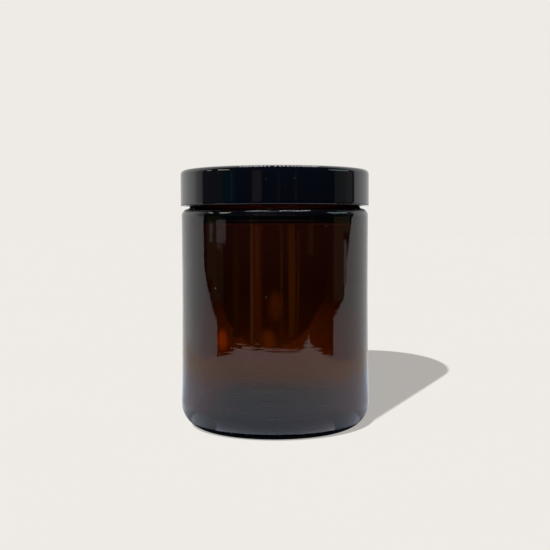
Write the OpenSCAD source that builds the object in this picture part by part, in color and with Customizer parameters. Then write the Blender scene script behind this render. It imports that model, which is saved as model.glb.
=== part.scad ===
// Straight-sided glass cream jar with a screw lid and a lined lid wad.
// Millimetres, +Z up. The origin is the centre of the ring that the jar stands on.

/* [Jar] */
// Outside diameter of the glass just under the shoulder
jar_d = 66; // [64:0.5:70]
// Height of the flat shoulder above the table
shoulder_z = 77.4; // [60:0.1:110]
// Radius that rounds the shoulder
shoulder_round = 3; // [2:0.1:4]
// Radius that rounds the heel
heel_round = 9; // [6:0.5:10]
// How much wider the heel is than the shoulder, on each side
heel_swell = 0.4; // [0:0.1:0.6]
// How far the label panel is let in below the shoulder, on each side
panel_recess = 0.1; // [0:0.05:0.3]
// Thickness of the side wall
wall = 2.7; // [2.2:0.1:3.2]
// Thickness of the base at its edge
base_t = 4.6; // [4:0.1:7]
// Height of the hollow under the base, at its centre
push_up = 1.8; // [1:0.1:2]

/* [Neck] */
// Outside diameter of the neck between the threads
neck_d = 60.1; // [59.8:0.1:60.3]
// Diameter of the mouth
mouth_d = 53.6; // [52:0.1:54]
// Height of the rim above the shoulder
neck_h = 11.5; // [11.5:0.1:14]
// Diameter over the glass thread
thread_d = 62.5; // [61.8:0.1:62.7]
// Rise of the thread in one turn
pitch = 4.233; // [4:0.01:4.4]
// Turns of thread on the neck and in the lid
thread_turns = 1.25; // [1:0.05:1.35]

/* [Lid] */
// Outside diameter of the lid
lid_d = 66.56; // [66.3:0.02:68]
// Gap between the shoulder and the lip of the lid
lip_gap = 1.0; // [0.8:0.1:1.2]
// Thickness of the lid's top panel
panel_t = 1.3; // [1.2:0.1:2]
// Radius that rounds the edge of the lid's top
lid_round = 1.6; // [1.2:0.1:2]
// Radius of the shallow crown between that edge and the flat of the top
crown_round = 20; // [15:1:25]

/* [Liner] */
// Thickness of the foam wad
core_t = 1.0; // [0.8:0.1:1.4]
// Thickness of the facing film
facing_t = 0.1; // [0.1:0.05:0.2]

/* [Hidden] */
$fn = 96;

amber = [0.24, 0.11, 0.04];
lid_black = [0.05, 0.05, 0.06];
foam_white = [0.88, 0.88, 0.85];
film_white = [0.95, 0.95, 0.93];

jar_r = jar_d / 2;
heel_r = jar_r + heel_swell;
heel_axis_r = heel_r - heel_round;
flare_low_z = heel_round + 5;
flare_high_z = heel_round + 16;
panel_low_z = shoulder_z - 20;
panel_high_z = shoulder_z - 11;
panel_edge_z = shoulder_z - 7;
inner_r = jar_r - wall;
inner_heel = 7;
inner_shoulder = 2.2;
shoulder_t = 3.2;
cavity_top = shoulder_z - shoulder_t;
floor_rise = 1.0;
floor_dome_r = 18;

neck_r = neck_d / 2;
mouth_r = mouth_d / 2;
rim_z = shoulder_z + neck_h;
neck_fillet = 0.9;
rim_outer = 1.0;
rim_inner = 0.9;
mouth_round = 1.2;
push_up_r = 20;
dome_fn = 360;
overlap = 1;

thread_from_rim = 2.6;
thread_top_z = rim_z - thread_from_rim;
thread_start_z = thread_top_z - pitch * thread_turns;
thread_sink = 0.4;
thread_root_w = 2.4;
thread_crest_w = 1.0;
thread_steps = 90;
thread_fade = 30;
thread_end_h = 0.1;
crest_bevel = 0.12;

lid_r = lid_d / 2;
lip_z = shoulder_z + lip_gap;
liner_gap = 0.02;
facing_z = rim_z + liner_gap;
core_z = facing_z + facing_t;
panel_z = core_z + core_t;
lid_top_z = panel_z + panel_t;
crown_slope = 78;
edge_axis_r = lid_r - lid_round;
crown_axis_r = edge_axis_r - (crown_round - lid_round) * cos(crown_slope);
crown_start_r = edge_axis_r + lid_round * cos(crown_slope);
crown_axis_z = lid_top_z - crown_round;
edge_axis_z = crown_axis_z + (crown_round - lid_round) * sin(crown_slope);
liner_overhang = 0.5;
liner_r = neck_r + liner_overhang;
liner_play = 0.15;
recess_r = liner_r + liner_play;
recess_corner = 0.1;
recess_low_z = facing_z - 0.05;
bead_r = liner_r - liner_play;
bead_high_z = facing_z - 0.25;
bead_low_z = facing_z - 0.4;
bead_bend_r = bead_r + 0.5;
bead_bend_z = facing_z - 0.8;
bead_foot_z = facing_z - 1.3;
skirt_gap = 1.55;
skirt_r = neck_r + skirt_gap;
lip_round = 0.4;
lip_chamfer = 0.4;
lid_thread_gap = 0.55;
lid_thread_r = neck_r + lid_thread_gap;
lid_thread_root_w = 2.0;
lid_thread_crest_w = 0.8;
thread_drop = 1.5;
lid_thread_rise = 2;
lid_thread_z = lip_z + lid_thread_rise;
lid_thread_angle = 360 * (lid_thread_z + thread_drop - thread_start_z) / pitch;

// Radius of a sphere whose cap is h high and r in radius.
function cap_sphere_r(r, h) = (r * r + h * h) / (2 * h);

// The corner between two square edges that a quarter circle of radius r leaves over.
module corner(r) {
    difference() {
        square(r);
        translate([r, r])
            circle(r = r);
    }
}

// A convex rounding: the quarter disc at the outer corner whose centre is (x, z).
module round_at(x, z, r) {
    translate([x, z])
        circle(r = r);
}

// Five points of the thread's section at step i: sunk foot, crest, sunk foot.
// side is +1 for a ridge that points outwards and -1 for one that points inwards.
function thread_section(i, root_r, crest_r, root_w, crest_w, z, turns, angle) =
    let (
        side = crest_r > root_r ? 1 : -1,
        sweep = 360 * turns,
        a = sweep * i / thread_steps,
        fade = min(1, a / thread_fade, (sweep - a) / thread_fade),
        grow = sin(90 * fade),
        foot_r = root_r - side * thread_sink,
        end_r = foot_r + side * thread_end_h,
        tip_r = end_r + (crest_r - end_r) * grow,
        bevel_r = tip_r - side * crest_bevel * grow,
        mid_z = z + pitch * a / 360,
        foot_w = root_w + (root_w - crest_w) * thread_sink / abs(crest_r - root_r),
        tip_w = crest_w + (foot_w - crest_w) * (crest_r - tip_r) / (crest_r - foot_r),
        direction = angle + a
    )
    [for (p = [
        [foot_r, -foot_w / 2],
        [bevel_r, -tip_w / 2],
        [tip_r, 0],
        [bevel_r, tip_w / 2],
        [foot_r, foot_w / 2]])
        [p[0] * cos(direction), p[0] * sin(direction), mid_z + p[1]]];

// A right-hand helical ridge that fades out at both ends.
module thread_ridge(root_r, crest_r, root_w, crest_w, z, turns, angle) {
    sections = [for (i = [0 : thread_steps])
        thread_section(i, root_r, crest_r, root_w, crest_w, z, turns, angle)];
    points = [for (s = sections) for (p = s) p];
    inward = crest_r < root_r;
    n = len(sections[0]);
    sides = [for (i = [0 : thread_steps - 1]) for (j = [0 : n - 1])
        let (k = (j + 1) % n, a = n * i + j, b = n * i + k, c = a + n, d = b + n)
        each [[a, d, b], [a, c, d]]];
    last = n * thread_steps;
    caps = [[for (j = [0 : n - 1]) j], [for (j = [n - 1 : -1 : 0]) last + j]];
    faces = concat(sides, caps);
    polyhedron(
        points = points,
        faces = inward ? faces : [for (f = faces) [for (j = [len(f) - 1 : -1 : 0]) f[j]]]);
}

// Outline of the outside of the glass, from the axis out.
module jar_outline() {
    difference() {
        union() {
            polygon([
                [0, 0],
                [heel_axis_r, 0],
                [heel_axis_r, heel_round],
                [heel_r, heel_round],
                [heel_r, flare_low_z],
                [jar_r, flare_high_z],
                [jar_r - panel_recess, panel_low_z],
                [jar_r - panel_recess, panel_high_z],
                [jar_r, panel_edge_z],
                [jar_r, shoulder_z - shoulder_round],
                [jar_r - shoulder_round, shoulder_z - shoulder_round],
                [jar_r - shoulder_round, shoulder_z],
                [0, shoulder_z]]);
            round_at(heel_axis_r, heel_round, heel_round);
            round_at(jar_r - shoulder_round, shoulder_z - shoulder_round, shoulder_round);
            translate([0, shoulder_z - overlap])
                square([neck_r, neck_h + overlap]);
            translate([neck_r, shoulder_z])
                corner(neck_fillet);
        }
        translate([neck_r, rim_z])
            rotate(180)
                corner(rim_outer);
    }
}

// Outline of the space inside the glass, from the axis out.
module cavity_outline() {
    polygon([
        [0, base_t],
        [inner_r - inner_heel, base_t],
        [inner_r - inner_heel, base_t + inner_heel],
        [inner_r, base_t + inner_heel],
        [inner_r, cavity_top - inner_shoulder],
        [inner_r - inner_shoulder, cavity_top - inner_shoulder],
        [inner_r - inner_shoulder, cavity_top],
        [0, cavity_top]]);
    round_at(inner_r - inner_heel, base_t + inner_heel, inner_heel);
    round_at(inner_r - inner_shoulder, cavity_top - inner_shoulder, inner_shoulder);
    translate([0, cavity_top - overlap])
        square([mouth_r, rim_z - cavity_top + 2 * overlap]);
    translate([mouth_r, cavity_top])
        corner(mouth_round);
    translate([mouth_r, rim_z])
        mirror([0, 1])
            corner(rim_inner);
}

// The space inside the glass, with a floor that rises a little towards the middle.
module cavity() {
    dome_r = cap_sphere_r(floor_dome_r, floor_rise);
    difference() {
        rotate_extrude()
            cavity_outline();
        translate([0, 0, base_t + floor_rise - dome_r])
            sphere(r = dome_r, $fn = dome_fn);
    }
}

// Pressed glass body with its threaded neck, in one piece.
module glass_jar() {
    hollow_r = cap_sphere_r(push_up_r, push_up);
    color(amber)
        difference() {
            union() {
                rotate_extrude()
                    jar_outline();
                thread_ridge(neck_r, thread_d / 2, thread_root_w, thread_crest_w,
                    thread_start_z, thread_turns, 0);
            }
            cavity();
            translate([0, 0, push_up - hollow_r])
                sphere(r = hollow_r, $fn = dome_fn);
        }
}

// Outline of the outside of the lid, from the axis out: skirt, rounded edge, shallow crown.
module lid_outline() {
    difference() {
        union() {
            polygon([
                [0, lip_z],
                [lid_r, lip_z],
                [lid_r, edge_axis_z],
                [crown_axis_r, edge_axis_z],
                [crown_axis_r, lid_top_z],
                [0, lid_top_z]]);
            round_at(edge_axis_r, edge_axis_z, lid_round);
            intersection() {
                round_at(crown_axis_r, crown_axis_z, crown_round);
                translate([crown_axis_r, edge_axis_z])
                    square([crown_start_r - crown_axis_r, lid_round * 2]);
            }
        }
        translate([lid_r, lip_z])
            mirror([1, 0])
                corner(lip_round);
    }
}

// Outline of the space inside the lid: skirt, liner bead, then the recess of the liner.
module lid_hollow_outline() {
    polygon([
        [0, lip_z - overlap],
        [skirt_r + lip_chamfer, lip_z - overlap],
        [skirt_r + lip_chamfer, lip_z],
        [skirt_r, lip_z + lip_chamfer],
        [skirt_r, bead_foot_z],
        [bead_bend_r, bead_bend_z],
        [bead_r, bead_low_z],
        [bead_r, bead_high_z],
        [recess_r, recess_low_z],
        [recess_r, panel_z - recess_corner],
        [recess_r - recess_corner, panel_z],
        [0, panel_z]]);
}

// Moulded lid: smooth skirt, rounded top edge, thread inside.
module lid() {
    color(lid_black)
        union() {
            difference() {
                rotate_extrude()
                    lid_outline();
                rotate_extrude()
                    lid_hollow_outline();
            }
            thread_ridge(skirt_r, lid_thread_r, lid_thread_root_w, lid_thread_crest_w,
                lid_thread_z, thread_turns, lid_thread_angle);
        }
}

// Foam disc that is snapped into the top of the lid.
module liner_core() {
    color(foam_white)
        translate([0, 0, core_z])
            cylinder(r = liner_r, h = core_t);
}

// Barrier film on the underside of the foam, which seals on the rim of the glass.
module liner_facing() {
    color(film_white)
        translate([0, 0, facing_z])
            cylinder(r = liner_r, h = facing_t);
}

glass_jar();
lid();
liner_core();
liner_facing();
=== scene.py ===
"""Amber glass cream jar with a black screw lid, on a pale studio floor.

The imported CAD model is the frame. The glass and the lid get finer meshes that carry the small
irregularities of pressed glass and moulded resin. Lengths here are millimetres until
build_mesh() and stage_object() turn them into metres. The jar stands at the origin, and the
camera looks along +Y.
"""

import math
import random

import bpy
from mathutils import Matrix, Vector, noise


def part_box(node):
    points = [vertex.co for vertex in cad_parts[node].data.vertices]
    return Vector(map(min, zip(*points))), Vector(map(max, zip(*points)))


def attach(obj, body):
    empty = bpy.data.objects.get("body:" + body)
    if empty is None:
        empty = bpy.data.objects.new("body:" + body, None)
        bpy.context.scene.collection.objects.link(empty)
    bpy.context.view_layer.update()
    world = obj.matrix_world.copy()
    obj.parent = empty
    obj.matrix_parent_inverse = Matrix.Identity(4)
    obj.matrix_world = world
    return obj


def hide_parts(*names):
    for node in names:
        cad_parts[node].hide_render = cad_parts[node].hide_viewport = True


MM = 0.001
TAU = 2 * math.pi

# Where the camera is. The studio's cards are placed by what it sees mirrored in the jar.
CAMERA_AT = Vector((0.36, -360.0, 71.5))

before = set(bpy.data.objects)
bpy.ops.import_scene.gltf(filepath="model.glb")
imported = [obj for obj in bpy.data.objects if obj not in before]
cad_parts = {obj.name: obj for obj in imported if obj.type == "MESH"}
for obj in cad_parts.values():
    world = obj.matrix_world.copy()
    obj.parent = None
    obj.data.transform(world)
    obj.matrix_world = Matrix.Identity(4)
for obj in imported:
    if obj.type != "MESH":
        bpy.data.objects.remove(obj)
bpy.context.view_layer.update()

# ---------------------------------------------------------------- sizes from the frame

_, jar_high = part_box("glass_jar")
lid_low, lid_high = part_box("lid")
_, core_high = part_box("liner_core")
film_low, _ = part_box("liner_facing")

HEEL_R = jar_high.x / MM
HEEL_Z = 9.0
RIM_Z = jar_high.z / MM
LID_R = lid_high.x / MM
LIP_Z = lid_low.z / MM
LID_TOP_Z = lid_high.z / MM
LINER_R = core_high.x / MM
FILM_Z = film_low.z / MM
PANEL_Z = core_high.z / MM

NECK_H = 11.5
SHOULDER_Z = RIM_Z - NECK_H
SHOULDER_R = 2.4
NECK_R = 30.05
MOUTH_R = 26.8

# The side wall leans out at the foot, and is a little slimmer half way up.
FLARE = 0.4
FLARE_LENGTH = 10.0
WAIST = 0.1
WAIST_LOW, WAIST_HIGH = 25.0, SHOULDER_Z - SHOULDER_R
JAR_R = HEEL_R - FLARE

WALL_T = 2.7
BASE_T = 4.6
SHOULDER_T = 3.2
INNER_R = JAR_R - WALL_T
CAVITY_TOP = SHOULDER_Z - SHOULDER_T

SKIRT_GAP = 1.55
SKIRT_R = NECK_R + SKIRT_GAP
SKIRT_CHAMFER = 0.4
BEAD_H = 1.3
LIP_R = 0.3

# Single-start threads. The lid's ridge runs THREAD_DROP below the jar's.
PITCH = 4.233
THREAD_TURNS = 1.25
THREAD_FADE = math.radians(30)
THREAD_FROM_RIM = 2.6
THREAD_FROM_LIP = 2.0
THREAD_DROP = 1.5
JAR_THREAD_Z = RIM_Z - THREAD_FROM_RIM - PITCH * THREAD_TURNS
JAR_THREAD_H = 1.2
LID_THREAD_Z = LIP_Z + THREAD_FROM_LIP
LID_THREAD_H = 1.0
LID_THREAD_ANGLE = TAU * (LID_THREAD_Z + THREAD_DROP - JAR_THREAD_Z) / PITCH

# Steps round the axis, and the two mould seams, each two steps wide.
SEGMENTS = 288
SEAM_ANGLE = math.radians(-90 + 45)
SEAM_HALF = TAU / SEGMENTS
SEAM_H = 0.008


# ---------------------------------------------------------------- outlines


def arc(cx, cz, r, start, end, steps):
    """Points of a circular arc, angles in degrees from the +r direction towards +z."""
    turn = (end - start) / steps
    angles = [math.radians(start + turn * i) for i in range(steps + 1)]
    return [(cx + r * math.cos(a), cz + r * math.sin(a)) for a in angles]


def run(a, b, steps):
    """Evenly spaced points from a to b, without a itself."""
    share = [(i + 1) / steps for i in range(steps)]
    return [(a[0] + (b[0] - a[0]) * t, a[1] + (b[1] - a[1]) * t) for t in share]


def polyline(*legs):
    """Joins outline pieces and drops points that repeat."""
    points = []
    for leg in legs:
        for p in leg:
            if not points or math.dist(points[-1], p) > 0.01:
                points.append(p)
    return points


def cap(radius, height, foot_z):
    """Outline of a cap cut off a sphere, from its top on the axis out to its foot."""
    sphere_r = (radius**2 + height**2) / (2 * height)
    edge = math.asin(radius / sphere_r)
    top_z = foot_z + height
    angles = [edge * i / 10 for i in range(11)]
    return [(sphere_r * math.sin(a), top_z - sphere_r * (1 - math.cos(a))) for a in angles]


def smooth(t):
    """Smooth step from 0 at t = 0 to 1 at t = 1."""
    t = min(1.0, max(0.0, t))
    return t * t * (3 - 2 * t)


def thread_height(angle, z, start_z, start_angle, crest, foot, height):
    """Height of a helical ridge at one place on a cylinder, 0 away from it.

    crest and foot are the ridge's widths at its top and at the cylinder.
    """
    best = 0.0
    sweep = TAU * THREAD_TURNS
    turn = (angle - start_angle) % TAU
    while turn <= sweep:
        off = abs(z - start_z - PITCH * turn / TAU)
        rise = smooth((foot / 2 - off) / ((foot - crest) / 2))
        fade = smooth(min(turn, sweep - turn) / THREAD_FADE)
        best = max(best, height * rise * fade)
        turn += TAU
    return best


# ---------------------------------------------------------------- glass jar


def ripple(x, y, z, size, seed):
    """Smooth noise between -1 and 1, with features about size mm across, other for each seed."""
    return noise.noise(Vector((x / size + seed, y / size - seed, z / size + 2 * seed)))


def body_radius(z):
    """Radius of the glass between heel and shoulder: flared at the foot, with a faint waist."""
    share = min(1.0, max(0.0, (z - WAIST_LOW) / (WAIST_HIGH - WAIST_LOW)))
    flare = FLARE * math.exp((HEEL_Z - z) / FLARE_LENGTH)
    return JAR_R + flare - WAIST * math.sin(math.pi * share) ** 2


def jar_outside():
    """Outline of the outside of the glass, from the base's centre up to the rim."""
    fillet = 0.9
    rim = 1.0
    push_up = cap(20.0, 1.8, 0.0)
    body_top = SHOULDER_Z - SHOULDER_R
    # The neck's fillet touches the round of the shoulder at this angle.
    across = NECK_R + fillet - (JAR_R - SHOULDER_R)
    meet = math.degrees(math.acos(across / (SHOULDER_R + fillet)))
    fillet_z = body_top + (SHOULDER_R + fillet) * math.sin(math.radians(meet))
    body_heights = [HEEL_Z + (body_top - HEEL_Z) * i / 60 for i in range(61)]
    return polyline(
        push_up,
        run(push_up[-1], (HEEL_R - HEEL_Z, 0), 4),
        arc(HEEL_R - HEEL_Z, HEEL_Z, HEEL_Z, -90, 0, 26),
        [(body_radius(z), z) for z in body_heights],
        arc(JAR_R - SHOULDER_R, body_top, SHOULDER_R, 0, meet, 16),
        arc(NECK_R + fillet, fillet_z, fillet, 180 + meet, 180, 8),
        run((NECK_R, fillet_z), (NECK_R, RIM_Z - rim), 64),
        arc(NECK_R - rim, RIM_Z - rim, rim, 0, 90, 10),
    )


def jar_inside():
    """Outline of the inside of the glass, from the rim down to the floor's centre."""
    rim = 0.9
    mouth = 1.2
    top = 2.2
    heel = 7.0
    dome = cap(18.0, 1.0, BASE_T)[::-1]
    return polyline(
        arc(MOUTH_R + rim, RIM_Z - rim, rim, 90, 180, 10),
        run((MOUTH_R, RIM_Z - rim), (MOUTH_R, CAVITY_TOP + mouth), 8),
        arc(MOUTH_R + mouth, CAVITY_TOP + mouth, mouth, 180, 270, 8),
        arc(INNER_R - top, CAVITY_TOP - top, top, 90, 0, 12),
        run((INNER_R, CAVITY_TOP - top), (INNER_R, BASE_T + heel), 40),
        arc(INNER_R - heel, BASE_T + heel, heel, 0, -90, 20),
        run((INNER_R - heel, BASE_T), dome[0], 4),
        dome,
    )


def seam(angle):
    """Height of the two mould seams, opposite each other, at one angle."""
    off = (angle - SEAM_ANGLE + TAU / 4) % (TAU / 2) - TAU / 4
    return SEAM_H * max(0.0, 1 - abs(off) / SEAM_HALF)


def outer_glass_shift(angle, r, z):
    """Faint waves of the outer skin, plus the thread on the neck."""
    x, y = r * math.cos(angle), r * math.sin(angle)
    if z > SHOULDER_Z:
        return thread_height(
            angle, z, JAR_THREAD_Z, start_angle=0, crest=1.0, foot=2.4, height=JAR_THREAD_H
        )
    # The waves fade out over the heel and below the shoulder.
    strength = smooth(z / 12) * smooth((SHOULDER_Z - 2 - z) / 8)
    broad = 0.010 * ripple(x, y, z, size=17, seed=3.1)
    fine = 0.0012 * ripple(x, y, z, size=5, seed=7.7)
    # The waves only go inwards, so that the glass stays inside its CAD box.
    sunk = 0.012
    return strength * (seam(angle) - sunk - broad - fine)


def inner_glass_shift(angle, r, z):
    """Upright waves in the wall's thickness, which a pressed glass wall has."""
    low, high = BASE_T + 3, CAVITY_TOP - 2
    if not low <= z <= high:
        return 0.0
    x, y = r * math.cos(angle), r * math.sin(angle)
    fade = smooth((high - z) / 8) * smooth((z - low) / 10)
    upright = 0.10 * ripple(x, y, z * 0.12, size=9, seed=1.7)
    broad = 0.06 * ripple(x, y, z * 0.5, size=21, seed=5.3)
    return fade * (upright + broad)


# ---------------------------------------------------------------- lid

# The flat top bends down along a round of CROWN_R until it faces CROWN_SLOPE degrees above
# level, and then along the tighter EDGE_R into the skirt.
CROWN_R = 20.0
CROWN_SLOPE = 78.0
EDGE_R = 1.6
EDGE_Z = LID_TOP_Z - CROWN_R + (CROWN_R - EDGE_R) * math.sin(math.radians(CROWN_SLOPE))


def lid_outside():
    """Outline of the outside of the lid, from the centre of its top down to the lip."""
    crown_x = LID_R - EDGE_R - (CROWN_R - EDGE_R) * math.cos(math.radians(CROWN_SLOPE))
    crown_z = LID_TOP_Z - CROWN_R
    return polyline(
        [(0, LID_TOP_Z)],
        run((0, LID_TOP_Z), (crown_x, LID_TOP_Z), 24),
        arc(crown_x, crown_z, CROWN_R, 90, CROWN_SLOPE, 10),
        arc(LID_R - EDGE_R, EDGE_Z, EDGE_R, CROWN_SLOPE, 0, 14),
        run((LID_R, EDGE_Z), (LID_R, LIP_Z + LIP_R), 20),
        arc(LID_R - LIP_R, LIP_Z + LIP_R, LIP_R, 0, -90, 8),
    )


def lid_inside():
    """Outline of the inside of the lid, from the lip up to the centre of its panel.

    The liner snaps in past a bead and sits in a recess above it.
    """
    play = 0.15
    bead_r, recess_r = LINER_R - play, LINER_R + play
    chamfer_r, chamfer_z = SKIRT_R + SKIRT_CHAMFER, LIP_Z + SKIRT_CHAMFER
    # The bead has a ramp, a short crest and a back that the film rests on.
    return polyline(
        run((LID_R - LIP_R, LIP_Z), (chamfer_r, LIP_Z), 2),
        run((chamfer_r, LIP_Z), (SKIRT_R, chamfer_z), 3),
        run((SKIRT_R, chamfer_z), (SKIRT_R, FILM_Z - BEAD_H), 60),
        run((SKIRT_R, FILM_Z - BEAD_H), (bead_r + 0.5, FILM_Z - 0.8), 3),
        run((bead_r + 0.5, FILM_Z - 0.8), (bead_r, FILM_Z - 0.4), 3),
        run((bead_r, FILM_Z - 0.4), (bead_r, FILM_Z - 0.25), 1),
        run((bead_r, FILM_Z - 0.25), (recess_r, FILM_Z - 0.05), 2),
        run((recess_r, FILM_Z - 0.05), (recess_r, PANEL_Z), 3),
        run((recess_r, PANEL_Z), (0, PANEL_Z), 6),
    )


def inner_lid_shift(angle, r, z):
    """The thread inside the skirt, between its chamfer and the bead."""
    clear = 0.05
    if z < LIP_Z + SKIRT_CHAMFER + clear or z > FILM_Z - BEAD_H - clear:
        return 0.0
    return -thread_height(
        angle, z, LID_THREAD_Z, LID_THREAD_ANGLE, crest=0.8, foot=2.0, height=LID_THREAD_H
    )


def outer_lid_shift(angle, r, z):
    """Sink marks of the moulding, a few microns deep."""
    if r < 1:
        return 0.0
    x, y = r * math.cos(angle), r * math.sin(angle)
    return -0.004 + 0.004 * ripple(x, y, z, size=19, seed=9.2)


# ---------------------------------------------------------------- mesh building


# Outline points nearer to the axis than this lie on it.
ON_AXIS = 1e-6


def build_mesh(name, outline, shifts):
    """Closed surface of revolution. outline starts and ends on the axis.

    shifts holds, for each outline point, the function that tells how far it moves outwards.
    """
    rings = 0
    verts = [(0, 0, outline[0][1] * MM)]
    for (r, z), shift in zip(outline, shifts):
        if r < ON_AXIS:
            continue
        rings += 1
        for k in range(SEGMENTS):
            a = TAU * k / SEGMENTS
            pushed = (r + shift(a, r, z)) * MM
            verts.append((pushed * math.cos(a), pushed * math.sin(a), z * MM))
    verts.append((0, 0, outline[-1][1] * MM))
    last = len(verts) - 1
    faces = []
    for k in range(SEGMENTS):
        n = (k + 1) % SEGMENTS
        faces.append((0, 1 + n, 1 + k))
        for j in range(rings - 1):
            a = 1 + j * SEGMENTS
            b = a + SEGMENTS
            faces.append((a + k, a + n, b + n, b + k))
        a = 1 + (rings - 1) * SEGMENTS
        faces.append((a + k, a + n, last))
    mesh = bpy.data.meshes.new(name)
    mesh.from_pydata(verts, [], faces)
    mesh.validate()
    mesh.polygons.foreach_set("use_smooth", [True] * len(mesh.polygons))
    mesh.update()
    obj = bpy.data.objects.new(name, mesh)
    bpy.context.collection.objects.link(obj)
    return obj


def make_jar():
    outside, inside = jar_outside(), jar_inside()
    # The flat of the rim runs from the end of the outside to the second point inside.
    outline = outside + inside[1:]
    shifts = [outer_glass_shift] * len(outside) + [inner_glass_shift] * (len(inside) - 1)
    return build_mesh("jar_glass", outline, shifts)


def make_lid():
    outside, inside = lid_outside(), lid_inside()
    outline = outside + inside
    shifts = [outer_lid_shift] * len(outside) + [inner_lid_shift] * len(inside)
    # This outline runs from the top down. Reversed, it makes faces that point outwards.
    return build_mesh("lid_shell", outline[::-1], shifts[::-1])


# ---------------------------------------------------------------- materials


def new_material(name):
    mat = bpy.data.materials.new(name)
    mat.use_nodes = True
    nodes = mat.node_tree.nodes
    return mat, nodes, mat.node_tree.links, nodes["Principled BSDF"]


def add(nodes, kind, **values):
    """A node with some of its inputs or properties set."""
    node = nodes.new(kind)
    for key, value in values.items():
        if key in node.inputs:
            node.inputs[key].default_value = value
        else:
            setattr(node, key, value)
    return node


def grey(v):
    return (v, v, v)


def math_node(nodes, links, operation, a, b=None):
    """Result of a calculation on numbers or on other nodes' outputs."""
    node = nodes.new("ShaderNodeMath")
    node.operation = operation
    for socket, value in zip(node.inputs, (a, b)):
        if isinstance(value, (int, float)):
            socket.default_value = value
        elif value is not None:
            links.new(value, socket)
    return node.outputs["Value"]


def colour_ramp(nodes, links, stops, value):
    """Colour for a value between 0 and 1. stops are (place, colour) pairs."""
    ramp = nodes.new("ShaderNodeValToRGB")
    while len(ramp.color_ramp.elements) < len(stops):
        ramp.color_ramp.elements.new(0.5)
    for element, (place, colour) in zip(ramp.color_ramp.elements, stops):
        element.position = place
        element.color = (*colour, 1)
    links.new(value, ramp.inputs["Fac"])
    return ramp.outputs["Color"]


def texture(nodes, links, kind, **values):
    """A procedural texture in the object's own space, which is in metres."""
    coord = nodes.new("ShaderNodeTexCoord")
    node = add(nodes, kind, **values)
    links.new(coord.outputs["Object"], node.inputs["Vector"])
    return node


def map_range(nodes, links, value, **values):
    """The value carried over from one range to another, 0 to 1 where no end is given."""
    node = nodes.new("ShaderNodeMapRange")
    for key, number in values.items():
        node.inputs[key.replace("_", " ").title()].default_value = number
    links.new(value, node.inputs["Value"])
    return node.outputs["Result"]


def amber_glass():
    mat, nodes, links, shader = new_material("amber_glass")
    shader.inputs["Roughness"].default_value = 0.0
    shader.inputs["IOR"].default_value = 1.5
    # Specks of dust sit where the cells of this texture have their centres.
    dust = texture(nodes, links, "ShaderNodeTexVoronoi", Scale=200.0)
    clear = map_range(nodes, links, dust.outputs["Distance"], from_min=0.012, from_max=0.026)
    links.new(clear, shader.inputs["Transmission Weight"])
    tint = colour_ramp(nodes, links, [(0.0, (0.2, 0.18, 0.16)), (1.0, grey(1))], clear)
    links.new(tint, shader.inputs["Base Color"])
    # The chilled skin of the glass: shallow waves, longer round the jar than up it.
    stretch = texture(nodes, links, "ShaderNodeMapping", Scale=(200, 200, 900))
    chill = add(nodes, "ShaderNodeTexNoise", Scale=1.0, Detail=2.0)
    links.new(stretch.outputs["Vector"], chill.inputs["Vector"])
    bump = add(nodes, "ShaderNodeBump", Strength=1.0, Distance=0.000012)
    links.new(chill.outputs["Fac"], bump.inputs["Height"])
    links.new(bump.outputs["Normal"], shader.inputs["Normal"])
    # The amber colour is in the glass itself, so thick glass is darker. Density is per metre.
    volume = nodes.new("ShaderNodeVolumeAbsorption")
    volume.inputs["Color"].default_value = (0.54, 0.28, 0.04, 1)
    volume.inputs["Density"].default_value = 1300
    links.new(volume.outputs["Volume"], nodes["Material Output"].inputs["Volume"])
    return mat


def black_resin():
    mat, nodes, links, shader = new_material("black_resin")
    shader.inputs["IOR"].default_value = 1.5
    tone = texture(nodes, links, "ShaderNodeTexNoise", Scale=900.0, Detail=3.0)
    stops = [(0.35, (0.00028, 0.0004, 0.0011)), (0.75, (0.0004, 0.00055, 0.0015))]
    black = colour_ramp(nodes, links, stops, tone.outputs["Fac"])
    dust = texture(nodes, links, "ShaderNodeTexVoronoi", Scale=300.0)
    speck = map_range(nodes, links, dust.outputs["Distance"], from_min=0.045, from_max=0.03)
    dusty = nodes.new("ShaderNodeMix")
    dusty.data_type = "RGBA"
    dusty.inputs["B"].default_value = (0.05, 0.05, 0.05, 1)
    links.new(speck, dusty.inputs["Factor"])
    links.new(black, dusty.inputs["A"])
    links.new(dusty.outputs["Result"], shader.inputs["Base Color"])
    wear = texture(nodes, links, "ShaderNodeTexNoise", Scale=260.0, Detail=6.0)
    rough = map_range(nodes, links, wear.outputs["Fac"], to_min=0.03, to_max=0.09)
    links.new(rough, shader.inputs["Roughness"])
    return mat


def foam():
    mat, nodes, links, shader = new_material("white_foam")
    cells = texture(nodes, links, "ShaderNodeTexVoronoi", Scale=2600.0)
    stops = [(0.0, (0.78, 0.78, 0.75)), (1.0, (0.88, 0.88, 0.86))]
    tone = colour_ramp(nodes, links, stops, cells.outputs["Distance"])
    links.new(tone, shader.inputs["Base Color"])
    bump = add(nodes, "ShaderNodeBump", Strength=0.4, Distance=0.0001)
    links.new(cells.outputs["Distance"], bump.inputs["Height"])
    links.new(bump.outputs["Normal"], shader.inputs["Normal"])
    shader.inputs["Roughness"].default_value = 0.7
    return mat


def film():
    mat, nodes, links, shader = new_material("barrier_film")
    grain = texture(nodes, links, "ShaderNodeTexNoise", Scale=300.0, Detail=4.0)
    stops = [(0.0, (0.84, 0.84, 0.82)), (1.0, (0.9, 0.9, 0.88))]
    tone = colour_ramp(nodes, links, stops, grain.outputs["Fac"])
    links.new(tone, shader.inputs["Base Color"])
    shader.inputs["Roughness"].default_value = 0.28
    return mat


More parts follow.
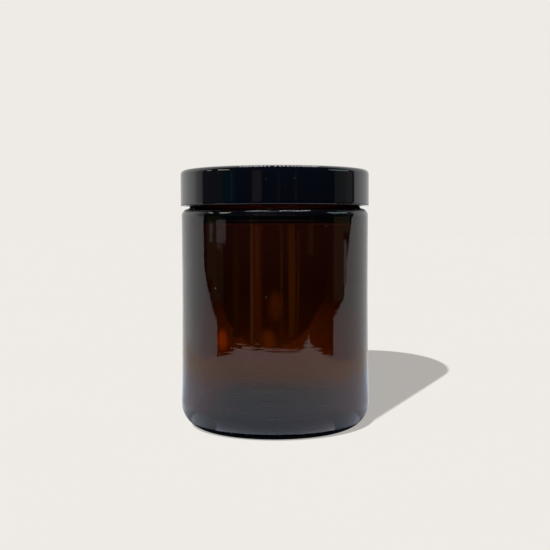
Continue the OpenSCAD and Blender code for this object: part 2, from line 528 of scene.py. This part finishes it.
def emitter(name, colour, strength):
    """Material that only glows. It is not sampled as a lamp, which would add noise."""
    mat = bpy.data.materials.new(name)
    mat.use_nodes = True
    mat.cycles.emission_sampling = "NONE"
    nodes = mat.node_tree.nodes
    nodes.clear()
    out = nodes.new("ShaderNodeOutputMaterial")
    glow = nodes.new("ShaderNodeEmission")
    glow.inputs["Color"].default_value = (*colour, 1)
    glow.inputs["Strength"].default_value = strength
    mat.node_tree.links.new(glow.outputs["Emission"], out.inputs["Surface"])
    return mat


# ---------------------------------------------------------------- object

jar = make_jar()
jar.data.materials.append(amber_glass())
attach(jar, "jar")
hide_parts("glass_jar")

lid = make_lid()
lid.data.materials.append(black_resin())
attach(lid, "lid")
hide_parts("lid")

# Soft light reaches the floor round the jar evenly, as in a large light tent.
for piece in (jar, lid):
    piece.visible_diffuse = False

# The liner keeps its CAD meshes.
for node, maker in (("liner_core", foam), ("liner_facing", film)):
    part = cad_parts[node]
    part.data.materials.clear()
    part.data.materials.append(maker())


# ---------------------------------------------------------------- studio
# Apart from the floor, the camera sees none of this. Glossy cards make the room that the glass
# and the lid mirror, and transmission cards make what shows through the glass.

PALE = (0.855, 0.823, 0.783)
RAY_KINDS = ("camera", "diffuse", "glossy", "transmission", "volume_scatter", "shadow")

# The room. Its dark front is part of a cylinder of SCREEN_R round the jar.
WALL_LEFT, WALL_RIGHT = -245.0, 226.0
WALL_FRONT, WALL_BACK = -150.0, 600.0
WALL_SPLIT = 80.0
ROOM_TOP = 900.0
CEILING_HALF = 700.0
SCREEN_R = 200.0
GLINT_REACH = 190.0

# The table as it is mirrored: what the jar stands on, what is near it, and the rest.
CONTACT_R = 30.5
NEAR_R = 66.0
TABLE_R = 1500.0
TABLE_Z, NEAR_Z = 0.3, 0.5

# What shows through the glass.
BEHIND_R = 60.0
BEHIND_LOW, BEHIND_TOP = 2.0, 300.0
DARK_Y, THROUGH_Y = 50.0, 47.0


def stage_object(name, verts, faces, material, *kinds):
    """A card, in millimetres, that only these kinds of ray meet (all kinds if none is named)."""
    mesh = bpy.data.meshes.new(name)
    mesh.from_pydata([tuple(c * MM for c in v) for v in verts], [], faces)
    obj = bpy.data.objects.new(name, mesh)
    bpy.context.collection.objects.link(obj)
    obj.data.materials.append(material)
    if kinds:
        for kind in RAY_KINDS:
            setattr(obj, "visible_" + kind, kind in kinds)
    return obj


def flat_card(name, points, material, *kinds):
    """Flat card with these corners."""
    return stage_object(name, points, [tuple(range(len(points)))], material, *kinds)


def ribbon(name, low, high, material, *kinds):
    """Band between two rows of points of the same length."""
    n = len(low)
    faces = [(i, i + 1, n + i + 1, n + i) for i in range(n - 1)]
    return stage_object(name, low + high, faces, material, *kinds)


def bow(r, z, start, stop, steps):
    """Points round the jar's axis, from start to stop in degrees from the front."""
    turns = [math.radians(start - 90 + (stop - start) * k / steps) for k in range(steps + 1)]
    return [(r * math.cos(t), r * math.sin(t), z) for t in turns]


def circle(r, z):
    return bow(r, z, 90, 450, 96)


def mirrored(angle, z, reach=SCREEN_R):
    """Where the camera's sight line, mirrored by the jar's side, meets a cylinder of radius reach.

    angle is in degrees round the jar from the front, to the right, and z a height on the glass.
    """
    a = math.radians(angle)
    tilt = math.atan(body_radius(z - 0.5) - body_radius(z + 0.5))
    out_x, out_y = math.sin(a), -math.cos(a)
    normal = Vector((out_x * math.cos(tilt), out_y * math.cos(tilt), math.sin(tilt)))
    at = Vector((out_x * body_radius(z), out_y * body_radius(z), z))
    ray = (at - CAMERA_AT).normalized()
    out = ray - 2 * ray.dot(normal) * normal
    flat = out.xy.length_squared
    toward = at.xy.dot(out.xy)
    far = (math.sqrt(toward**2 + flat * (reach**2 - at.xy.length_squared)) - toward) / flat
    return tuple(at + far * out)


def curtain(name, edge, material):
    """Upright screen whose lower edge the glass mirrors at these (angle, height) points."""
    dense = [edge[0]]
    for a, b in zip(edge, edge[1:]):
        dense += run(a, b, max(1, round(abs(b[0] - a[0]))))
    low = [mirrored(angle, z) for angle, z in dense]
    return ribbon(name, low, [(p[0], p[1], ROOM_TOP) for p in low], material, "glossy")


def patch(name, left, right, low, high, colour, reach):
    """Card, reach away from the axis, that the glass mirrors between two angles and heights."""
    steps = max(1, round((right - left) / 2))
    angles = [left + (right - left) * i / steps for i in range(steps + 1)]
    bottom = [mirrored(a, low, reach) for a in angles]
    top = [mirrored(a, high, reach) for a in angles]
    return ribbon(name, bottom, top, emitter(name, colour, 1.0), "glossy")


def share_round(nodes, links, axes):
    """Direction from the jar's axis: 0.5 at the front, 0.75 at the right, 0 or 1 behind."""
    front = math_node(nodes, links, "MULTIPLY", axes.outputs["Y"], -1.0)
    turn = math_node(nodes, links, "ARCTAN2", axes.outputs["X"], front)
    return math_node(nodes, links, "ADD", math_node(nodes, links, "DIVIDE", turn, TAU), 0.5)


OUT_SPAN = 300.0
UP_SPAN = 100.0


def share_out(nodes, links, axes):
    """Distance from the jar's axis, 1 at OUT_SPAN."""
    xx = math_node(nodes, links, "MULTIPLY", axes.outputs["X"], axes.outputs["X"])
    yy = math_node(nodes, links, "MULTIPLY", axes.outputs["Y"], axes.outputs["Y"])
    away = math_node(nodes, links, "SQRT", math_node(nodes, links, "ADD", xx, yy))
    return math_node(nodes, links, "DIVIDE", away, OUT_SPAN * MM)


def share_up(nodes, links, axes):
    """Height above the table, 1 at UP_SPAN."""
    return math_node(nodes, links, "DIVIDE", axes.outputs["Z"], UP_SPAN * MM)


def ramp_emitter(name, value, stops, tint_value=None, tint_stops=None):
    """Emission along a colour ramp, times a second ramp if that is given."""
    mat = emitter(name, (1, 1, 1), 1.0)
    nodes, links = mat.node_tree.nodes, mat.node_tree.links
    coord = nodes.new("ShaderNodeTexCoord")
    axes = nodes.new("ShaderNodeSeparateXYZ")
    links.new(coord.outputs["Object"], axes.inputs["Vector"])
    glow = next(n for n in nodes if n.type == "EMISSION")
    colour = colour_ramp(nodes, links, stops, value(nodes, links, axes))
    if tint_stops:
        both = nodes.new("ShaderNodeVectorMath")
        both.operation = "MULTIPLY"
        tint = colour_ramp(nodes, links, tint_stops, tint_value(nodes, links, axes))
        links.new(colour, both.inputs[0])
        links.new(tint, both.inputs[1])
        colour = both.outputs["Vector"]
    links.new(colour, glow.inputs["Color"])
    return mat


def by_azimuth(*stops):
    """Ramp stops from (degrees round from the front, colour) pairs."""
    return [(0.5 + degrees / 360, colour) for degrees, colour in stops]


# Floor. Its own glow stands in for light that a light tent throws back onto it.
FLOOR_ALBEDO = 0.38
FLOOR_GRAIN = 0.002
SHADOW_SHARE = 0.508
FLOOR_HALF = 6000.0


def pale_floor():
    mat, nodes, links, shader = new_material("pale_floor")
    grain = texture(nodes, links, "ShaderNodeTexNoise", Scale=9.0, Detail=5.0)
    stops = [(0.0, grey(FLOOR_ALBEDO - FLOOR_GRAIN)), (1.0, grey(FLOOR_ALBEDO + FLOOR_GRAIN))]
    tone = colour_ramp(nodes, links, stops, grain.outputs["Fac"])
    links.new(tone, shader.inputs["Base Color"])
    shader.inputs["Roughness"].default_value = 0.95
    shader.inputs["Specular IOR Level"].default_value = 0.0
    shader.inputs["Emission Color"].default_value = (*PALE, 1)
    shader.inputs["Emission Strength"].default_value = SHADOW_SHARE - FLOOR_ALBEDO
    return mat


floor = flat_card(
    "floor",
    [
        (-FLOOR_HALF, -FLOOR_HALF, 0),
        (FLOOR_HALF, -FLOOR_HALF, 0),
        (FLOOR_HALF, FLOOR_HALF, 0),
        (-FLOOR_HALF, FLOOR_HALF, 0),
    ],
    pale_floor(),
)
floor.visible_glossy = False

# Room, as the glossy pieces mirror it.
low_wall_glow = ramp_emitter(
    "low_wall_glow",
    share_round,
    by_azimuth(
        (-180, grey(0.7)),
        (-140, grey(0.82)),
        (-120, grey(0.88)),
        (-95, (0.86, 0.86, 0.87)),
        (-86, (0.82, 0.8, 0.83)),
        (0, (0.8, 0.77, 0.8)),
        (86, (0.79, 0.8, 0.8)),
        (98, (0.78, 0.76, 0.77)),
        (115, (0.76, 0.74, 0.74)),
        (180, grey(0.7)),
    ),
)
high_wall_glow = ramp_emitter(
    "high_wall_glow",
    share_round,
    by_azimuth(
        (-180, (0.74, 0.74, 0.7)),
        (-148, (0.78, 0.78, 0.75)),
        (-136, grey(0.9)),
        (-124, grey(0.97)),
        (-108, grey(1.0)),
        (-100, grey(0.6)),
        (-90, grey(0.42)),
        (90, grey(0.42)),
        (104, grey(0.8)),
        (116, grey(0.87)),
        (140, grey(0.78)),
        (180, grey(0.7)),
    ),
)
WALL_CORNERS = [
    (WALL_LEFT, WALL_FRONT),
    (WALL_LEFT, WALL_BACK),
    (WALL_RIGHT, WALL_BACK),
    (WALL_RIGHT, WALL_FRONT),
]
for tier, bottom, top, glow in (
    ("low", 0, WALL_SPLIT, low_wall_glow),
    ("high", WALL_SPLIT, ROOM_TOP, high_wall_glow),
):
    foot = [(x, y, bottom) for x, y in WALL_CORNERS]
    head = [(x, y, top) for x, y in WALL_CORNERS]
    ribbon(tier + "_walls", foot, head, glow, "glossy")

table_glow = ramp_emitter(
    "table_glow",
    share_out,
    [
        (0.1, (0.87, 0.92, 1.12)),
        (0.2, (0.9, 0.97, 1.18)),
        (0.4, (0.92, 1.06, 1.24)),
        (0.54, (0.98, 1.05, 1.14)),
        (0.62, (1.04, 1.02, 0.96)),
        (0.76, (1.0, 0.97, 0.87)),
        (0.95, (0.98, 1.0, 1.0)),
    ],
    share_round,
    by_azimuth(
        (-180, (0.82, 0.8, 0.8)),
        (-138, (0.82, 0.8, 0.8)),
        (-127, (0.77, 0.7, 0.66)),
        (-118, (0.8, 0.71, 0.67)),
        (-105, (1.0, 0.84, 0.78)),
        (-85, (1.25, 0.98, 0.95)),
        (-74, (1.22, 1.0, 0.94)),
        (-60, (1.15, 1.05, 0.99)),
        (-38, grey(1.0)),
        (8, grey(1.0)),
        (30, (1.15, 1.06, 1.03)),
        (56, (1.3, 1.14, 1.08)),
        (74, (1.36, 1.1, 1.03)),
        (86, (1.25, 0.98, 0.94)),
        (103, (1.02, 0.86, 0.81)),
        (115, (0.86, 0.75, 0.71)),
        (126, (0.76, 0.69, 0.66)),
        (138, (0.8, 0.79, 0.79)),
        (180, (0.82, 0.8, 0.8)),
    ),
)
rim, edge = circle(CONTACT_R, TABLE_Z), circle(TABLE_R, TABLE_Z)
ribbon("table_sheen", rim, edge, table_glow, "glossy")

# The table close behind the jar and at its sides is dimmer: painted shade, since the jar itself
# stands there.
near_glow = ramp_emitter(
    "near_glow",
    share_out,
    [
        (0.1, (0.1, 0.1, 0.11)),
        (0.11, (0.2, 0.21, 0.23)),
        (0.12, (0.34, 0.36, 0.4)),
        (0.15, (0.6, 0.62, 0.68)),
        (0.17, (0.72, 0.74, 0.82)),
        (0.2, (0.88, 0.9, 1.02)),
        (0.22, (0.93, 0.96, 1.08)),
    ],
)
side_glow = ramp_emitter(
    "side_glow",
    share_out,
    [
        (0.1, (0.1, 0.11, 0.13)),
        (0.104, (0.33, 0.35, 0.42)),
        (0.108, (0.43, 0.46, 0.56)),
        (0.113, (0.58, 0.62, 0.75)),
        (0.12, (0.7, 0.75, 0.88)),
        (0.14, (0.92, 0.95, 1.1)),
        (0.22, (1.0, 0.98, 1.1)),
    ],
)
for name, start, stop, glow in (
    ("near_sheen_left", -80, -44, side_glow),
    ("near_sheen_right", 44, 80, side_glow),
    ("near_sheen_back", 80, 280, near_glow),
):
    inner = bow(CONTACT_R, NEAR_Z, start, stop, 40)
    outer = bow(NEAR_R, NEAR_Z, start, stop, 40)
    ribbon(name, inner, outer, glow, "glossy")
# A dark disc under the jar, which the heel mirrors: painted shade of the table beneath the jar.
contact_shade = emitter("contact_shade", (0.01, 0.012, 0.016), 1.0)
flat_card("contact_shade", circle(CONTACT_R, TABLE_Z)[:-1], contact_shade, "glossy")

room_glow = ramp_emitter(
    "room_glow",
    share_up,
    [
        (0.0, (0.006, 0.008, 0.002)),
        (0.45, (0.006, 0.01, 0.004)),
        (0.6, (0.008, 0.02, 0.026)),
        (0.79, (0.01, 0.02, 0.03)),
        (0.84, (0.02, 0.03, 0.042)),
        (1.0, (0.035, 0.047, 0.078)),
    ],
)

# The room's dark front. Its ragged lower edge, as the glass mirrors it: (degrees round from the
# front, height on the glass).
SCREEN_EDGE = [
    (-46.0, 100.0), (-46.0, 59.6), (-43.8, 52.6), (-41.0, 47.7), (-38.5, 43.5), (-35.6, 40.0),
    (-35.3, 27.8), (-29.0, 28.8), (-24.0, 30.6), (-19.8, 31.8), (-7.2, 31.5), (3.0, 31.2),
    (8.8, 30.3), (14.5, 30.9), (17.5, 32.4), (18.8, 34.0), (19.6, 35.6), (20.4, 33.6),
    (22.0, 31.9), (25.5, 30.6), (30.0, 29.3), (35.7, 28.0), (35.7, 40.3), (38.4, 43.0),
    (44.1, 46.7), (45.1, 54.3), (51.7, 74.5), (53.2, 78.0), (53.2, 100.0),
]
curtain("room_screen", SCREEN_EDGE, room_glow)
flat_card(
    "ceiling",
    [
        (-CEILING_HALF, -CEILING_HALF, ROOM_TOP),
        (CEILING_HALF, -CEILING_HALF, ROOM_TOP),
        (CEILING_HALF, WALL_BACK, ROOM_TOP),
        (-CEILING_HALF, WALL_BACK, ROOM_TOP),
    ],
    room_glow,
    "glossy",
)

# What stands in the front of the room: angles round the jar and heights that mirror it. Up to
# BODY_TOP the glass mirrors it, and from LID_FOOT to LID_TOP the lid.
BODY_TOP = 77.0
LID_FOOT, LID_TOP = 78.5, 96.0
for name, left, right, low, high, colour in (
    ("post_high", -12.7, -7.3, LID_FOOT, LID_TOP, (0.17, 0.15, 0.14)),
    ("post_low", -14.3, -12.6, 33.0, BODY_TOP, (0.11, 0.09, 0.05)),
    ("post_step", -10.9, -9.4, 56.0, BODY_TOP, (0.08, 0.07, 0.06)),
    ("rod_left", 1.2, 3.0, LID_FOOT, LID_TOP, (0.07, 0.06, 0.09)),
    ("rod_right", 11.0, 12.6, LID_FOOT, LID_TOP, (0.08, 0.07, 0.1)),
    ("left_shelf", -45.6, -31.0, LID_FOOT, LID_TOP, (0.08, 0.08, 0.085)),
    ("cool_wall", -31.0, -22.5, LID_FOOT, LID_TOP, (0.015, 0.08, 0.09)),
    ("right_shelf", 36.4, 45.2, LID_FOOT, LID_TOP, (0.14, 0.15, 0.14)),
    ("right_jamb", 45.2, 51.4, LID_FOOT, LID_TOP, (0.19, 0.19, 0.17)),
    ("left_haze", -43.2, -31.0, 54.0, BODY_TOP, (0.08, 0.078, 0.046)),
    ("left_haze_low", -39.5, -31.0, 46.5, 54.0, (0.075, 0.07, 0.04)),
    ("right_haze", 36.0, 43.6, 46.5, BODY_TOP, (0.14, 0.1, 0.065)),
    ("right_haze_top", 43.6, 49.5, 69.0, BODY_TOP, (0.13, 0.11, 0.07)),
    ("right_streak", 20.4, 22.6, 62.0, 74.5, (0.06, 0.07, 0.05)),
):
    patch(name, left, right, low, high, colour, SCREEN_R - 2)

# Nearer cards, which cover some of those.
for name, left, right, low, high, colour in (
    ("half_tone", 43.9, 46.9, 52.0, 66.5, (0.45, 0.4, 0.38)),
    ("panel", -35.7, -29.2, 65.8, 73.0, (0.48, 0.45, 0.43)),
    ("panel_foot", -35.7, -31.6, 63.4, 65.7, (0.2, 0.19, 0.16)),
    ("small_panel", -41.2, -38.4, 66.4, 72.2, (0.38, 0.37, 0.38)),
    ("cool_edge", -25.6, -24.2, 79.0, LID_TOP, (0.07, 0.14, 0.15)),
):
    patch(name, left, right, low, high, colour, SCREEN_R - 5)


def glint(angle, tilt, edge):
    """Where a sight line goes on to from a rounded edge of the jar or the lid.

    angle is round the jar from the front, and tilt how far the edge's surface faces up there,
    both in degrees. edge is the round's radius and the radius and height of its centre.
    """
    a, t = math.radians(angle), math.radians(tilt)
    radius, centre_r, centre_z = edge
    normal = Vector((math.sin(a) * math.cos(t), -math.cos(a) * math.cos(t), math.sin(t)))
    centre = Vector((math.sin(a) * centre_r, -math.cos(a) * centre_r, centre_z))
    at = centre + radius * normal
    ray = (at - CAMERA_AT).normalized()
    return tuple(at + GLINT_REACH * (ray - 2 * ray.dot(normal) * normal))


# The underside of the lid's lip, a little wider, as the shoulder mirrors it at the sides.
LIP_SHADE_R = 34.4
LIP_SHADE_Z = LIP_Z - 0.05
shade_glow = emitter("shade_glow", (0.03, 0.037, 0.05), 1.0)
inner, outer = (bow(r, LIP_SHADE_Z, 38, 322, 71) for r in (LID_R, LIP_SHADE_R))
ribbon("lip_shade", inner, outer, shade_glow, "glossy")

SHOULDER_EDGE = (SHOULDER_R, JAR_R - SHOULDER_R, SHOULDER_Z - SHOULDER_R)
LID_EDGE = (EDGE_R, LID_R - EDGE_R, EDGE_Z)

# A dark band just off the front of the lid's edge, from (out, up) to (out, up) of the centre of
# its round. It keeps the shoulder's lamps out of that edge.
EDGE_SHADE = ((2.14, 1.35), (1.42, 1.97))
outer, inner = (
    bow(LID_R - EDGE_R + out, EDGE_Z + up, -24.5, 28.5, 53) for out, up in EDGE_SHADE
)
ribbon("edge_shade", outer, inner, shade_glow, "glossy")

# Rows of small lamps that the shoulder and the lid's edge mirror. A lamp spans twice a half
# width between narrow and wide, and the tilts from low to high, all in degrees. Groups are
# (from, to, lamps), in degrees round the jar.
SHOULDER_LAMPS = ((-16.0, -8.2, 5), (-5.5, 0.6, 3), (3.5, 22.7, 9))
LID_LAMPS = ((-18.3, -5.2, 8), (-3.0, 0.5, 2), (3.0, 23.3, 11))
rng = random.Random(7)
for row, edge, narrow, wide, low, high, glow, groups in (
    ("front", SHOULDER_EDGE, 0.16, 0.34, 28.0, 34.0, 75.0, SHOULDER_LAMPS),
    ("back", LID_EDGE, 0.3, 0.48, 44.0, 66.0, 6.5, LID_LAMPS),
):
    dot_glow = emitter(row + "_glow", (0.94, 0.96, 1.0), glow)
    for start, stop, count in groups:
        for k in range(count):
            angle = start + (stop - start) * k / (count - 1) + rng.uniform(-0.2, 0.2)
            half = rng.uniform(narrow, wide)
            corners = [(-half, low), (half, low), (half, high), (-half, high)]
            points = [glint(angle + side, tilt, edge) for side, tilt in corners]
            flat_card("%s_dot_%03d" % (row, 10 * angle + 400), points, dot_glow, "glossy")

# Larger lamps, as four (degrees round the jar, tilt) corners on the shoulder.
for name, corners, colour in (
    ("warm_lamp_far", ((-37.6, 9), (-37.6, 22), (-41.0, 22), (-41.0, 9)), (3.0, 3.0, 2.4)),
    ("warm_lamp", ((-25.5, 9), (-25.5, 20), (-33.0, 23), (-33.0, 9)), (4.3, 4.3, 3.3)),
    ("teal_lamp", ((31.0, 5), (46.5, 3), (46.5, 22), (31.0, 21)), (1.15, 1.6, 1.65)),
):
    points = [glint(angle, tilt, SHOULDER_EDGE) for angle, tilt in corners]
    flat_card(name, points, emitter(name, colour, 1.0), "glossy")

# What shows through the glass: a ring round the jar, and closer cards behind it.
ring_glow = ramp_emitter(
    "ring_glow",
    share_up,
    [
        (0.05, (0.75, 0.6, 0.2)),
        (0.08, (0.95, 0.75, 0.2)),
        (0.16, (1.2, 0.9, 0.2)),
        (0.2, (1.05, 0.9, 0.1)),
        (0.28, (0.82, 0.85, 0.05)),
        (0.36, (0.6, 0.5, 0.05)),
        (0.42, (0.28, 0.22, 0.03)),
        (0.65, (0.32, 0.3, 0.1)),
        (0.74, (0.34, 0.32, 0.12)),
        (0.8, (0.9, 0.95, 0.45)),
        (0.88, (0.9, 0.95, 0.45)),
        (0.97, (0.03, 0.02, 0.01)),
    ],
)
foot, head = circle(BEHIND_R, BEHIND_LOW), circle(BEHIND_R, BEHIND_TOP)
ribbon("ring", foot, head, ring_glow, "transmission")
flat_card("ring_top", head[:-1], ring_glow, "transmission")
dark_glow = ramp_emitter(
    "dark_glow",
    share_up,
    [
        (0.2, (0.8, 0.7, 0.1)),
        (0.25, (0.5, 0.4, 0.02)),
        (0.3, (0.27, 0.2, 0.0)),
        (0.45, (0.165, 0.12, 0.0)),
        (0.65, (0.28, 0.22, 0.05)),
        (0.76, (0.3, 0.25, 0.08)),
        (0.81, (1.0, 0.9, 0.45)),
    ],
)
DARK_OUTLINE = [
    (-29, 100), (-28.4, 61.6), (-26.4, 45.3), (-24.3, 39.3), (-21.5, 33.2), (-17.4, 27.1),
    (-10.1, 21.8), (0, 20.2), (10.1, 25.1), (14.2, 29.1), (18.2, 35.2), (22.3, 41.3),
    (24.3, 53.5), (25.5, 100),
]
flat_card("dark_behind", [(x, DARK_Y, z) for x, z in DARK_OUTLINE], dark_glow, "transmission")


def soft_card(name, left, right, low, high, lean, colour, round_spot):
    """Card behind the jar that fades towards its sides, or all round if it is a spot.

    lean moves its top to the right.
    """
    mat = emitter(name, colour, 1.0)
    nodes, links = mat.node_tree.nodes, mat.node_tree.links
    coord = nodes.new("ShaderNodeTexCoord")
    axes = nodes.new("ShaderNodeSeparateXYZ")
    links.new(coord.outputs["Generated"], axes.inputs["Vector"])
    parts = []
    for axis in ("X", "Z") if round_spot else ("X",):
        off = math_node(nodes, links, "SUBTRACT", axes.outputs[axis], 0.5)
        parts.append(math_node(nodes, links, "MULTIPLY", off, off))
    total = parts[0] if len(parts) == 1 else math_node(nodes, links, "ADD", *parts)
    away = math_node(nodes, links, "SQRT", total)
    # Opaque in the middle, clear at the sides.
    cover = map_range(nodes, links, away, from_min=0.5, from_max=0.15)
    cover.node.interpolation_type = "SMOOTHSTEP"
    glow = next(n for n in nodes if n.type == "EMISSION")
    out = next(n for n in nodes if n.type == "OUTPUT_MATERIAL")
    gap = nodes.new("ShaderNodeBsdfTransparent")
    mix = nodes.new("ShaderNodeMixShader")
    links.new(cover, mix.inputs["Fac"])
    links.new(gap.outputs["BSDF"], mix.inputs[1])
    links.new(glow.outputs["Emission"], mix.inputs[2])
    links.new(mix.outputs["Shader"], out.inputs["Surface"])
    corners = [(left, low), (right, low), (right + lean, high), (left + lean, high)]
    flat_card(name, [(x, THROUGH_Y, z) for x, z in corners], mat, "transmission")


for name, left, right, low, high, lean, colour, round_spot in (
    ("through_edge", -10.9, -9.0, 20, 86, 0.0, (0.95, 1.1, 0.5), False),
    ("through_left", -10.6, -4.4, 20, 86, 0.0, (0.6, 0.55, 0.12), False),
    ("through_blob", -4.5, 3.4, 30, 48, 0.8, (0.7, 0.65, 0.14), True),
    ("through_low", -8.5, 1.0, 18, 31, 0.0, (1.3, 1.4, 0.3), True),
    ("through_line", 1.6, 3.6, 24, 86, 0.0, (0.5, 0.6, 0.1), False),
    ("through_right", 6.4, 9.8, 26, 86, -1.6, (0.62, 0.8, 0.2), False),
    ("through_thin", 9.3, 10.7, 28, 70, 0.0, (0.5, 0.6, 0.1), False),
    ("through_far", 13.6, 16.4, 60, 86, 0.0, (0.36, 0.5, 0.2), False),
    ("through_green", -19.5, -15.5, 26, 86, 0.0, (0.3, 0.42, 0.1), False),
    ("orange", -28.0, -20.6, 19, 31, 0.5, (4.2, 3.2, 0.0), True),
):
    soft_card(name, left, right, low, high, lean, colour, round_spot)

# The liner looks down into the dim amber jar, so the light that reaches it is dim and amber.
# From below the card looks like the sky, so the floor stays evenly lit.
dim_inside = emitter("dim_inside", PALE, 1.0)
nodes, links = dim_inside.node_tree.nodes, dim_inside.node_tree.links
side_seen = nodes.new("ShaderNodeNewGeometry")
tone = nodes.new("ShaderNodeMix")
tone.data_type = "RGBA"
tone.inputs["A"].default_value = (0.1, 0.045, 0.015, 1)
tone.inputs["B"].default_value = (*PALE, 1)
links.new(side_seen.outputs["Backfacing"], tone.inputs["Factor"])
glow = next(n for n in nodes if n.type == "EMISSION")
links.new(tone.outputs["Result"], glow.inputs["Color"])
DIM_Z = RIM_Z - 0.4
flat_card("dim_inside", circle(LINER_R, DIM_Z)[:-1], dim_inside, "diffuse")

# Even light from all sides, like a large light tent.
world = bpy.data.worlds.new("studio")
world.use_nodes = True
world.node_tree.nodes["Background"].inputs["Color"].default_value = (*PALE, 1)
world.node_tree.nodes["Background"].inputs["Strength"].default_value = 1.0
world.cycles.sampling_method = "NONE"
bpy.context.scene.world = world

# The key light, and a card that only shapes the shadow on the table.
SUN_AZIMUTH = math.radians(13)
SUN_FALL = 0.603
SUN_TRAVEL = Vector((math.sin(SUN_AZIMUTH), math.cos(SUN_AZIMUTH), -SUN_FALL))
SUN_POWER = 6.81
SUN_WIDTH = math.radians(2.0)
SUN_COLOUR = (1.0, 0.963, 0.915)
sun_data = bpy.data.lights.new("key", "SUN")
sun_data.energy = SUN_POWER
sun_data.angle = SUN_WIDTH
sun_data.color = SUN_COLOUR
sun = bpy.data.objects.new("key", sun_data)
bpy.context.collection.objects.link(sun)
sun.rotation_mode = "QUATERNION"
sun.rotation_quaternion = SUN_TRAVEL.to_track_quat("-Z", "Y")
sun.visible_glossy = False


def turns_left(a, b, c):
    """Whether the way from a over b to c bends to the left."""
    return (b[0] - a[0]) * (c[1] - a[1]) > (b[1] - a[1]) * (c[0] - a[0])


def hull(points):
    """Convex outline of flat points, in order."""
    points = sorted(set(points))

    def half(line):
        out = []
        for p in line:
            while len(out) > 1 and not turns_left(out[-2], out[-1], p):
                out.pop()
            out.append(p)
        return out[:-1]

    return half(points) + half(points[::-1])


def ellipse(cx, cy, rx, ry, steps=72):
    turns = [TAU * k / steps for k in range(steps)]
    return [(cx + rx * math.cos(t), cy + ry * math.sin(t)) for t in turns]


# The shadow's outline on the table goes round two ellipses, one at the foot and one far off.
SHADOW_FOOT = (5.6, 13.9, 30.7, 30.7)
SHADOW_END = (50.8, 153.9, 36.0, 62.4)
SHADE_Z = 28.0
# The card hangs above the table, so it stands nearer to the sun than its shadow.
shift = SUN_TRAVEL.xy / SUN_TRAVEL.z * SHADE_Z
shade = hull(ellipse(*SHADOW_FOOT) + ellipse(*SHADOW_END))
flat_card(
    "shade",
    [(x + shift.x, y + shift.y, SHADE_Z) for x, y in shade],
    emitter("shade", (0, 0, 0), 0.0),
    "shadow",
)


# ---------------------------------------------------------------- camera

# Angles in radians.
PITCH_DOWN = 0.049
YAW = -0.001
ROLL = -0.003
SENSOR_WIDTH = 36.0
LENS = 66.174545

camera_data = bpy.data.cameras.new("camera")
camera_data.sensor_width = SENSOR_WIDTH
camera_data.lens = LENS
camera = bpy.data.objects.new("camera", camera_data)
bpy.context.collection.objects.link(camera)
# The camera's own axes: ahead, and then its side and up, turned by its roll.
ahead = Vector(
    (
        math.sin(YAW) * math.cos(PITCH_DOWN),
        math.cos(YAW) * math.cos(PITCH_DOWN),
        -math.sin(PITCH_DOWN),
    )
)
level = Vector((math.cos(YAW), -math.sin(YAW), 0))
above = level.cross(ahead)
side = math.cos(ROLL) * level + math.sin(ROLL) * above
up = -math.sin(ROLL) * level + math.cos(ROLL) * above
camera.matrix_world = Matrix(
    (
        (side.x, up.x, -ahead.x, CAMERA_AT.x * MM),
        (side.y, up.y, -ahead.y, CAMERA_AT.y * MM),
        (side.z, up.z, -ahead.z, CAMERA_AT.z * MM),
        (0, 0, 0, 1),
    )
)
bpy.context.scene.camera = camera
bpy.context.scene.view_settings.view_transform = "Standard"
bpy.context.scene.cycles.caustics_refractive = False
bpy.context.scene.cycles.caustics_reflective = False
